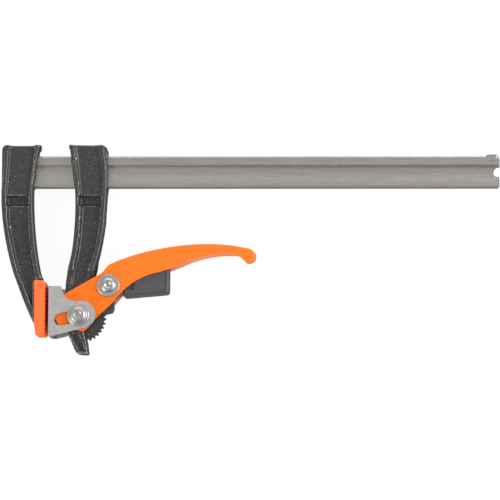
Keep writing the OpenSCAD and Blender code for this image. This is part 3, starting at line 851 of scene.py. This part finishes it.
@dataclass
class Rail:
    """The ground bar, its grooves, its end notch and its staked stop."""

    start: float = -28.94
    end: float = 298.75
    low: float = 80.0
    height: float = 21.0
    half: float = 5.1
    groove: float = 1.5
    bevel: float = 1.2
    stop_x: float = 290.65
    stop_r: float = 3.75
    notch_r: float = 3.4
    reach: float = 9.0  # how far the cutting shapes go to each side

    def face(self) -> list[Point]:
        """Draw one wide face's profile, with its groove.

        Returns:
            Its points from the lower edge to the upper one, as Y and Z.
        """
        top = self.half
        floor = top - self.groove
        across = arc((0.8, top - 0.8), 0.8, 180, 90, 4) + strung(
            (1.4, top),
            (18, (4.4, top), (7.0, floor + 0.06), (9.6, floor)),
            (12, (11.4, floor), (12.6, floor + 0.18), (13.3, floor + 0.42)),
            (9, (14.0, floor + 0.68), (14.7, top - 0.04), (15.4, top)),
        ) + arc((self.height - 1.3, top - 1.3), 1.3, 90, 0, 8)
        return [(self.low + y, z) for y, z in across]

    def build(self) -> None:
        """Make the bar and the stop."""
        bar = Form.bar(doubled(self.face()), self.start, self.end)
        middle = self.low + self.height / 2
        bar.cut(arc((self.end - 0.15 * self.notch_r, middle), self.notch_r, 0, 352, 44), -self.reach, self.reach)
        for side in (-1, 1):
            edge = middle + side * self.height / 2
            inner, outer = self.end - self.bevel, self.end + 1
            corner = [(inner, edge + side), (inner, edge), (self.end, edge - side * self.bevel)]
            corner += [(outer, edge - side * self.bevel), (outer, edge + side)]
            bar.cut(corner, -self.reach, self.reach)
        bar.cut(self.moon(0.06), -self.reach, self.reach)
        bar.rounded(0.35, 3, 50).piece("rail_bar", "clamp_frame", RAIL_STEEL, "rail")
        stop = Form.prism(self.moon(0.0), -self.half, self.half)
        stop.rounded(0.4, 3, 50).piece("rail_stop", "clamp_frame", RAIL_STEEL, "rail")

    def moon(self, gap: float) -> list[Point]:
        """Draw the staked stop's half-round outline.

        Args:
            gap: The gap round it.

        Returns:
            Its corners in turn.
        """
        top = self.low + self.height
        at = (self.stop_x + self.stop_r, top)
        over = [(at[0] + self.stop_r - 0.5, top + 1 + gap), (at[0] - self.stop_r + 0.5, top + 1 + gap)]
        return arc(at, self.stop_r + gap, 180, 360, 30) + over


@dataclass(frozen=True)
class Mould:
    """How a cast arm departs from its solid.

    Attributes:
        node: The solid.
        above: Y over which its walls lean.
        crown: Rise of the head between its ridges.
        bow: How far the arm bows to the left.
        bow_in: Y between which the bow comes in.
        bow_out: Y between which it goes out.
        flange: Shift of the head's right flange.
        walls: The walls with a shift of their own: Y under them, X on each side of them, and the shift.
        web: X that the head's most leaning walls are left of.
        lean: Their lean at the head's foot, and its growth with Y.
        pocket: X that the leaning wall beside the pocket is right of.
        ridges: The ridges on the head: X, radius and the lowest Z.
    """

    POCKET_Y = 66.0  # foot of the wall beside the pocket
    HEAD_Y = 75.0  # foot of the head
    CROWN_Y = (103, 106)  # the crown comes in between these
    TOP_Y = 107.5  # the solid's own ridges are over this, and stay
    RIDGE_Y = 108.1  # top of the ridges laid over them
    RIDGE_Z = 9.9  # their ends
    FLANGE_X, FLANGE_Y = (25, 31), (56, 66)  # the right flange's shift comes in between these
    DEEP, MOST = 0.25, 0.9  # a wall's lean: its share of the depth, and the most of it
    POCKET_LEAN = 0.6  # the lean of the wall beside the pocket

    node: str
    above: float
    crown: float
    bow: float
    bow_in: Point
    bow_out: Point
    flange: float
    walls: tuple[tuple[float, float, float, float], ...]
    web: float
    lean: Point
    pocket: float
    ridges: tuple[Spot, ...]

    def form(self) -> Form:
        """Return the solid with its shifts and slopes."""
        return Form.of_node(self.node).shifted(self.shift).sloped(self.leaning, self.above)

    def ridged(self, form: Form) -> Form:
        """Lay the ridges over the top of the head.

        Args:
            form: The casting's shape.

        Returns:
            The same form, with them.
        """
        for x, radius, low in self.ridges:
            form.beside(Form.prism(arc((x, self.RIDGE_Y - radius), radius, 0, 345, 24), low, self.RIDGE_Z))
        return form

    def shift(self, point: Vector) -> Point:
        """Tell how far a point of the solid moves, for the arm's bow and the head's crown.

        Args:
            point: Its place.

        Returns:
            Its moves in X and Y.
        """
        side = self.flange * ramp(point.y, *self.FLANGE_Y) * ramp(point.x, *self.FLANGE_X)
        for low, left, right, own in self.walls:
            if point.y > low and left < point.x < right:
                side = own
        rise = 0.0 if point.y > self.TOP_Y else self.crown * ramp(point.y, *self.CROWN_Y)
        return side - self.bow * ramp(point.y, *self.bow_in) * (1 - ramp(point.y, *self.bow_out)), rise

    def leaning(self, point: Vector, depth: float) -> float:
        """Tell how far a recess's wall leans, most of all beside the head's web.

        Args:
            point: A point on the wall.
            depth: The recess's depth there.

        Returns:
            The run from the wall's top to its foot.
        """
        if point.y > self.HEAD_Y and point.x < self.web:
            return self.lean[0] + self.lean[1] * (point.y - self.HEAD_Y)
        if self.POCKET_Y < point.y < self.HEAD_Y and point.x > self.pocket:
            return self.POCKET_LEAN
        return min(self.DEEP * depth, self.MOST)


@dataclass
class FixedJaw:
    """The cast arm at the rail's end, with its pad cap."""

    mould: Mould = Mould(
        "fixed_arm", above=20, crown=0.35, bow=0.56, bow_in=(16, 24), bow_out=(78, 88), flange=0.0,
        walls=((74, -25.95, -23.5, -0.6),), web=-18, lean=(0.9, 0.012), pocket=-16,
        ridges=((-25.9, 1.5, -9.9), (-6.9, 1.9, -5.4)),
    )
    cap_depth: float = 7.9
    cap_half: float = 18.3
    cap_z: float = 10.4
    wall: float = 1.5
    face: float = 3.0
    grip_pitch: float = 2.7

    def cap(self) -> None:
        """Make the pad cap, hollow for the jaw block and grooved for grip."""
        back, half = self.cap_depth, self.cap_half
        outline = [(-back, half), (-0.23 * back, half), (0, half - 3.3), (0, 2.2 - half)]
        outline += [(-0.14 * back, -half), (-0.82 * back, -half), (-0.95 * back, -0.56 * half)]
        form = Form.prism(outline, -self.cap_z, self.cap_z).rounded(0.75, 4)
        inner, hollow = half - self.wall, self.cap_z - self.wall
        form.cut([(-14, inner), (-self.face, inner), (-self.face, -inner), (-14, -inner)], -hollow, hollow)
        for i in range(11):
            y = (i - 5) * self.grip_pitch - 0.7
            form.cut(arc((0.3, y), 0.8, 0, 342, 20), -8.4, 12)
        form.piece("pad_cap", "clamp_frame", PAD, "fixed_pad_cap")

    def build(self) -> None:
        """Make the casting, with sloped recess walls and rounded edges, and its cap."""
        form = self.mould.ridged(self.mould.form())
        form.softened(4).piece("fixed_casting", "clamp_frame", CASTING, "fixed_arm", even=False)
        self.cap()


@dataclass
class SlidingJaw:
    """The cast arm that slides, and its toothed sector."""

    mould: Mould = Mould(
        "sliding_arm", above=30, crown=0.6, bow=0.9, bow_in=(4, 14), bow_out=(27, 36), flange=-0.6,
        walls=((74, 23, 24, -1.05), (107, 17, 20, -1.05)), web=27, lean=(1.0, 0.037), pocket=30,
        ridges=((15.8, 1.5, -9.9), (36.0, 1.9, -9.9)),
    )
    pivot: Point = PIVOT_AT
    tip: float = 16.95
    root: float = 15.2
    pitch: float = 10.35
    first: float = 6.0
    teeth: int = 8
    half: float = 5.0
    under: float = 0.7  # how far the casting ends under the roots of the teeth
    thinner: float = 0.88  # its thickness beside them, as a share of theirs
    # the room that the lever's cheeks turn in, as radius and height
    room: tuple[Point, ...] = ((0, 7.45), (27.2, 7.45), (31.5, 10.4), (31.5, 13), (0, 13))

    def build(self) -> None:
        """Make the casting, and its teeth as a crisp piece of their own."""
        form = self.mould.form()
        for v in form.bm.verts:
            arm = Vector((v.co.x - self.pivot[0], v.co.y - self.pivot[1]))
            turn = math.degrees(math.atan2(arm.y, arm.x))
            if abs(v.co.z) < self.half + 0.1 and arm.length > self.root + 0.2 and -70 < turn < 10:
                arm.length = self.root - self.under
                v.co.x, v.co.y = self.pivot[0] + arm.x, self.pivot[1] + arm.y
            if abs(abs(v.co.z) - self.half) < LEVEL and v.co.x > 23.5 and v.co.y > -21:
                v.co.z *= self.thinner
        self.mould.ridged(form).softened(0)
        for side in (1, -1):
            tool = Form.lathe([(radius, side * z) for radius, z in self.room], self.pivot)
            form.combine(tool, "DIFFERENCE", "MANIFOLD")
        form.softened(4).piece("sliding_casting", "slider", CASTING, "sliding_arm", even=False)
        self.sector()

    def sector(self) -> None:
        """Make the toothed sector."""
        step = self.pitch / 4
        outline = arc(self.pivot, 5.5, -76, 50, 8) + arc(self.pivot, self.root - 0.3, 50, 20, 4)
        for i in range(self.teeth):
            a = self.first - i * self.pitch
            for reach, turn in ((self.root, 2), (self.tip, 0.4), (self.tip, -0.3)):
                outline += arc(self.pivot, reach, a + turn * step, a, 1)[:1]
        last = self.first - (self.teeth - 1) * self.pitch - 2 * step
        outline += arc(self.pivot, self.root, last, 0, 1)[:1]
        form = Form.prism(outline, -self.half, self.half)
        form.rounded(0.25, 3, 40).piece("toothed_sector", "slider", TEETH, "sliding_arm")


@dataclass
class Stirrup:
    """The plated sheet channel that presses on the work."""

    gap: float = 2.05
    sheet: float = 2.0
    half: float = 12.3
    bend: float = 1.3
    up: float = 14.1
    down: float = 18.9
    ear_r: float = 9.0
    slot_r: float = 4.1
    rise: float = 13.5
    out: float = 2.4
    back: float = 12.2
    pivot: Point = PIVOT_AT

    def build(self) -> None:
        """Fold the channel and cut its slots."""
        ear = on_line(self.pivot, self.rise, self.out)
        edge = arc(ear, self.ear_r, 95, self.rise - 90, 28)
        crown = self.gap + 0.95 * self.ear_r
        waist = [(crown, self.up), (crown + 1.8, 0.43 * self.up), (crown + 3.78, edge[0][1] - 0.45), edge[0]]
        head = [(self.gap, -self.down), (self.gap, self.up), (crown - 0.8, self.up), (crown - 0.2, self.up - 0.15)]
        foot = [(self.gap + 3.2, -self.down), (self.gap + 2.2, -self.down)]
        cheek = chain(head, curve(waist, 14)[1:], edge, foot)
        form = Form.folded(cheek, (0, 1), self.half, self.bend, self.sheet)
        slot = arc(ear, self.slot_r, self.rise - 90, self.rise + 90, 24)
        end = on_line(self.pivot, self.rise, -self.back)
        slot += arc(end, self.slot_r, self.rise + 90, self.rise + 270, 24)
        form.cut(slot, -14, 14)
        form.rounded(0.4, 3, 40).piece("jaw_channel", "jaw_stirrup", ZINC, "stirrup")


@dataclass
class Ring:
    """A washer, shim or spacer round a rivet."""

    name: str
    node: str
    body: str
    at: Point
    radius: float
    hole: float
    low: float
    high: float
    edge: float

    def build(self) -> None:
        """Turn the ring, with its edges rounded."""
        e, r, h = self.edge, self.radius, self.hole
        half = [(h, e), (h + e, 0), (r - e, 0), (r - 0.3 * e, 0.3 * e), (r, e)]
        profile = [(x, self.low + z) for x, z in half] + [(x, self.high - z) for x, z in reversed(half)]
        Form.lathe(profile, self.at, closed=True).piece(self.name, self.body, WASHER, self.node)


@dataclass
class Rivet:
    """A rivet with a formed head at each end."""

    name: str
    node: str
    body: str
    at: Point
    shank: float
    seat: float
    head: list[Point]

    def build(self) -> None:
        """Turn the rivet from its heads' profile, which is radius and height over the seat."""
        front = [(r, self.seat + z) for r, z in self.head] + [(self.shank, self.seat)]
        Form.lathe(doubled(front), self.at, steps=128).piece(self.name, self.body, NICKEL, self.node)


@dataclass
class Lever:
    """The folded sheet lever."""

    pivot: Point = PIVOT_AT
    pawl: Point = PAWL_AT
    handle: float = 96.2
    cam: float = 18.0
    half: float = 10.0
    sheet: float = 2.0
    bend: float = 1.3
    bores: Point = (4.05, 3.55)
    # the curves over the handle and under it, as shares of its length from the pawl's rivet
    over: tuple[Run, ...] = (
        (8, (-0.0249, 0.094), (-0.0239, 0.1305), (0.0167, 0.1513)),  # shoulder
        (40, (0.209, 0.2417), (0.6248, 0.3394), (0.9699, 0.2542)),  # top
        (7, (0.9928, 0.248), (1.0036, 0.228), (1.0, 0.2074)),  # tip
        (7, (0.996, 0.181), (0.9755, 0.1652), (0.95, 0.1655)),  # hook
        (12, (0.915, 0.166), (0.918, 0.214), (0.867, 0.2198)),  # inner side of the hook
        (14, (0.7598, 0.2292), (0.6456, 0.2063), (0.5572, 0.1752)),  # grip
        (10, (0.4792, 0.1419), (0.396, 0.1024), (0.3109, 0.0848)),  # palm
        (14, (0.1985, 0.0588), (0.0946, -0.0244), (0.0384, -0.1055)),  # belly
    )
    # the curves round the cam, as shares of its reach from the pivot
    under: tuple[Run, ...] = (
        (10, (1.0889, 0.3111), (0.6447, -0.0225), (0.4223, -0.3445)),  # under side
        (7, (0.3111, -0.5001), (0.178, -0.6113), (0.0109, -0.5502)),  # toe
        (6, (-0.2166, -0.4667), (-0.4667, -0.4223), (-0.6614, -0.378)),  # heel
        (10, (-0.8446, -0.3336), (-0.9558, 0.1999), (-1.0002, 0.511)),  # face
    )

    def cheek(self) -> tuple[list[Point], tuple[int, int]]:
        """Draw a cheek.

        Returns:
            Its corners in turn, and the first and last corner of the run that the handle's back joins.
        """
        start, *inner = off(self.pivot, self.cam, (-1.0002, 0.511), (-0.7585, 0.6621), (-0.5059, 0.8003))
        outline = strung(start, (10, *inner, *off(self.pawl, self.handle, (-0.0623, 0.0774))))
        ends = []
        for at, size, runs in ((self.pawl, self.handle, self.over), (self.pivot, self.cam, self.under)):
            for steps, *shares in runs:
                outline = chain(outline, strung(outline[-1], (steps, *off(at, size, *shares))))
                ends.append(len(outline) - 1)
        return outline[:-1], (ends[0], ends[3])

    def build(self) -> None:
        """Fold the lever and bore it for its two rivets."""
        form = Form.folded(*self.cheek(), self.half, self.bend, self.sheet)
        for at, radius in zip((self.pivot, self.pawl), self.bores):
            form.cut(arc(at, radius, 0, 354, 60), -12, 12)
        form.rounded(0.3, 3, 40).piece("lever_channel", "handle", ENAMEL, "lever")


@dataclass
class Release:
    """The ratchet pawl, its spring and the trigger that lifts it."""

    pawl: Point = PAWL_AT
    rise: float = 19.0
    left: float = 50.98
    low: float = 7.03
    long: float = 30.2
    high: float = 19.0
    half: float = 7.4
    tail: float = 27.05
    tail_half: float = 3.05
    pin: float = 24.9
    wire: float = 0.6
    coil_r: float = 5.14
    coil_z: float = 4.7
    coil_rise: float = 2.6
    coil_first: float = 104.0
    coil_last: float = 710.0
    coil_steps: int = 96
    leg_ends: tuple[Point, Point] = ((49.4, 28.6), (55.4, 23.3))

    def on_tail(self, run: float, side: float = 0.0) -> Point:
        """Return a point so far along the pawl's tail and so far to its left."""
        return on_line(self.pawl, self.rise, run, side)

    def grip(self) -> None:
        """Make the trigger, with its neck between the lever's cheeks and the slot for the tail."""
        x, y = self.left, self.low
        step, bend = 0.08 * self.long, x + 0.45 * self.long
        outline = [(x, y + 1.2), (x + 1.2, y), (x + self.long - 1.2, y + step), (x + self.long, y + step + 1.2)]
        outline += [(x + self.long, y + self.high + step), (bend, y + self.high), (x, y + 0.72 * self.high)]
        form = Form.prism(outline, 1 - self.half, self.half - 1).rounded(1.15, 4, 30)
        right = x + self.long - 2.5
        panel = [(x + 1.5, y + 2.6), (x + 2.5, y + 1.7), (x + self.long - 3.5, y + step + 1.6)]
        panel += [(right, y + step + 2.6), (right, y + self.high + step - 1)]
        panel += [(bend, y + self.high - 1), (x + 1.5, y + 0.7 * self.high)]
        form.combine(Form.prism(panel, -self.half, self.half), "UNION")
        neck, spring_leg = (
            [(x - 2, y + up), (x + out, y + up), (x + out, y + 40), (x - 2, y + 40)]
            for out, up in ((7.7, 5.2), (7.2, 12))
        )
        for side in (-1, 1):
            form.cut(neck, *span(5.8, 12, side))
        form.cut(spring_leg, 3.8, 12).rounded(0.35, 3, 50)
        ends = ((0, -1), (self.tail, -1), (self.tail, 1), (0, 1))
        form.cut([self.on_tail(run, side * self.tail_half) for run, side in ends], -4.05, 4.05)
        form.cut(arc(self.on_tail(self.pin), 1.55, 0, 345, 24), -12, 12)
        form.piece("trigger_grip", "trigger", GRIP, "release_trigger")

    def spring(self) -> None:
        """Wind the spring from a ring of points, and draw its two legs out."""
        form = Form()
        bm, centre = form.bm, (0, 0, 0)
        ring = ops.create_circle(bm, segments=14, radius=self.wire)["verts"]
        ops.rotate(bm, cent=centre, matrix=Matrix.Rotation(math.pi / 2, 3, "X"), verts=ring)
        ops.translate(bm, vec=(self.coil_r, 0, self.coil_z), verts=ring)
        start = Matrix.Rotation(math.radians(self.coil_first), 3, "Z")
        ops.rotate(bm, cent=centre, matrix=start, verts=ring)
        wound = ops.spin(
            bm, geom=bm.verts[:] + bm.edges[:], cent=centre, axis=(0, 0, 1), steps=self.coil_steps,
            dvec=(0, 0, self.coil_rise / self.coil_steps), angle=math.radians(self.coil_last - self.coil_first),
        )
        last = only(BMEdge, wound["geom_last"])
        first = [e for e in bm.edges if e.is_boundary and e not in set(last)]
        for edges, end, rise in zip((last, first), self.leg_ends, (self.coil_rise, 0)):
            drawn = ops.extrude_edge_only(bm, edges=edges)["geom"]
            moved = only(BMVert, drawn)
            middle = sum((v.co for v in moved), Vector()) / len(moved)
            foot = Vector((end[0] - self.pawl[0], end[1] - self.pawl[1], self.coil_z + rise))
            ops.translate(bm, vec=foot - middle, verts=moved)
            ops.contextual_create(bm, geom=only(BMEdge, drawn))
        ops.translate(bm, vec=(*self.pawl, 0), verts=bm.verts)
        form.tidied().piece("torsion_spring", "handle", SPRING, "pawl_spring")

    def build(self) -> None:
        """Make the pawl, the trigger, its pin and the spring."""
        Form.of_node("ratchet_pawl").rounded(0.3, 3, 40).piece("pawl_plate", "trigger", PAWL, "ratchet_pawl")
        self.grip()
        front = [(0, self.half - 0.05), (1.1, self.half - 0.05), (1.5, self.half - 0.4)]
        pin = Form.lathe(doubled(front), self.on_tail(self.pin), steps=48)
        pin.piece("grip_pin", "trigger", SPRING, "trigger_pin")
        self.spring()


@dataclass
class Studio:
    """The plain pale floor, the soft light and the camera."""

    floor_z: float = -0.01541
    centre: Spot = (0.1344, 0.0391, 0.0)
    towards: Spot = (0.102, -0.096, 0.99)
    distance: float = 8.0
    lens: float = 873.0

    def camera(self) -> None:
        """Set the camera where the photographer stood."""
        data = bpy.data.cameras.new("camera")
        data.lens, data.sensor_width = self.lens, 36.0
        data.clip_end = 40.0
        made = placed("camera", data)
        back = Vector(self.towards).normalized()
        right = (Vector((1, 0, 0)) - back * back.x).normalized()
        up = back.cross(right)
        place = Vector(self.centre) + back * self.distance
        made.matrix_world = Matrix.Translation(place) @ Matrix((right, up, back)).transposed().to_4x4()
        bpy.context.scene.camera = made

    def world(self) -> None:
        """Light the scene from all round, and show white where nothing stands."""
        world = bpy.data.worlds.new("studio")
        bpy.context.scene.world = world
        graph = Graph(world, empty=True)
        way = graph.place("Generated")
        fall = graph.ranged(graph.along("Y", way), (-0.9, 0.14), (0.34, 1.0), "LINEAR")
        front = graph.ranged(graph.along("Z", way), (0.2, 0.85), (0.72, 0.58))
        glints = graph.glow(graph.worked("MULTIPLY", fall, front), 1.0)
        shown = graph.mixed(graph.ray("Glossy"), graph.glow(WHITE, 0.66), glints)
        seen = graph.worked("MAXIMUM", graph.ray("Camera"), graph.ray("Transmission"))
        graph.add("OutputWorld", {"Surface": graph.mixed(seen, shown, graph.glow(WHITE, 1.0))})

    def floor(self) -> None:
        """Lay the floor, which shows white and keeps a soft shadow."""
        form = Form()
        ops.create_grid(form.bm, x_segments=1, y_segments=1, size=6)
        ops.translate(form.bm, vec=(0, 0, self.floor_z), verts=form.bm.verts)
        made = form.solid("floor")
        form.bm.free()
        paint = bpy.data.materials.new("floor_paint")
        graph = Graph(paint, empty=True)
        matt = graph.add("BsdfDiffuse", {"Color": (0.85, 0.85, 0.85, 1)}).outputs["BSDF"]
        bright = graph.worked("MULTIPLY_ADD", graph.ray("Camera"), 0.76, 0.3)
        white = graph.add("Emission", {"Color": WHITE, "Strength": bright}).outputs["Emission"]
        seen = graph.worked("MAXIMUM", graph.ray("Camera"), graph.ray("Glossy"))
        graph.add("OutputMaterial", {"Surface": graph.mixed(graph.worked("MULTIPLY", seen, 0.88), matt, white)})
        made.data.materials.append(paint)

    def lamp(self, name: str, at: Spot, size: Point, watts: float, mirrored: bool = True) -> None:
        """Hang a soft box that looks at the clamp.

        Args:
            name: Its name.
            at: Where it hangs, in metres.
            size: Its width and height, in metres.
            watts: Its power.
            mirrored: Whether the clamp's glossy surfaces show it.
        """
        data = bpy.data.lights.new(name, "AREA")
        data.shape = "RECTANGLE"
        data.size, data.size_y = size
        data.energy = watts
        made = placed(name, data)
        made.location = at
        made.visible_glossy = mirrored
        made.rotation_euler = (Vector(at) - Vector(self.centre)).to_track_quat("Z", "Y").to_euler()

    def build(self) -> None:
        """Set up the whole studio."""
        bpy.context.scene.view_settings.view_transform = "Standard"
        self.camera()
        self.world()
        self.floor()
        self.lamp("key", (-0.6, 0.9, 1.3), (1.4, 1.0), 3.0, mirrored=False)
        self.lamp("below", (0.15, -1.2, 0.5), (1.2, 0.4), 4.0, mirrored=False)
        self.lamp("right_front", (1.33, 0.15, 0.9), (1.1, 0.8), 18.0)
        self.lamp("left_side", (-0.85, -0.6, 0.8), (0.5, 0.5), 6.0)
        self.lamp("top_rim", (0.13, 1.4, 0.3), (1.6, 0.8), 10.0)


def build_rivets() -> None:
    """Make the two rivets and what is threaded on them."""
    rings = (
        ("pivot_washer", "lower_washer", "slider", PIVOT_AT, 7.2, 4.05, (12.35, 13.55), 0.3),
        ("pawl_washer", "upper_washer", "handle", PAWL_AT, 7.5, 3.55, (10.05, 11.25), 0.3),
        ("side_shim", "pivot_shim", "slider", PIVOT_AT, 7.2, 4.05, (7.5, 7.95), 0.1),
        ("pawl_sleeve", "pawl_spacer", "handle", PAWL_AT, 4.34, 3.55, (4.05, 7.95), 0.12),
    )
    for side, word in ((1, "front"), (-1, "back")):
        for name, node, *rest, heights, edge in rings:
            Ring(f"{name}_{word}", f"{node}_{word}", *rest, *span(*heights, side), edge).build()
    dome = [(0, 1.38)] + strung(
        (1.6, 1.4),
        (8, (2.2, 1.42), (2.4, 1.72), (3.0, 1.76)),
        (10, (3.9, 1.78), (4.5, 1.5), (4.75, 1.05)),
        (4, (4.9, 0.8), (5.1, 0.8), (5.3, 0.84)),
        (6, (5.8, 0.86), (6.05, 0.55), (6.1, 0.12)),
    ) + [(6.0, 0)]
    Rivet("pivot_rivet", "lower_rivet", "slider", PIVOT_AT, 4.0, 13.6, dome).build()
    dish = strung(
        (0, 0.95),
        (8, (0.9, 0.95), (1.4, 1.05), (1.9, 1.4)),
        (6, (2.3, 1.72), (2.7, 1.72), (3.1, 1.62)),
        (8, (4.0, 1.4), (4.7, 1.0), (4.9, 0.12)),
    ) + [(4.8, 0)]
    Rivet("pawl_rivet", "upper_rivet", "handle", PAWL_AT, 3.5, 11.3, dish).build()


def main() -> None:
    """Build the studio and every piece of the clamp."""
    logging.basicConfig(level=logging.INFO, format="%(name)s: %(message)s")
    for part in (Studio(), Rail(), FixedJaw(), SlidingJaw(), Stirrup()):
        part.build()
    build_rivets()
    Lever().build()
    Release().build()


if __name__ == "__main__":
    main()
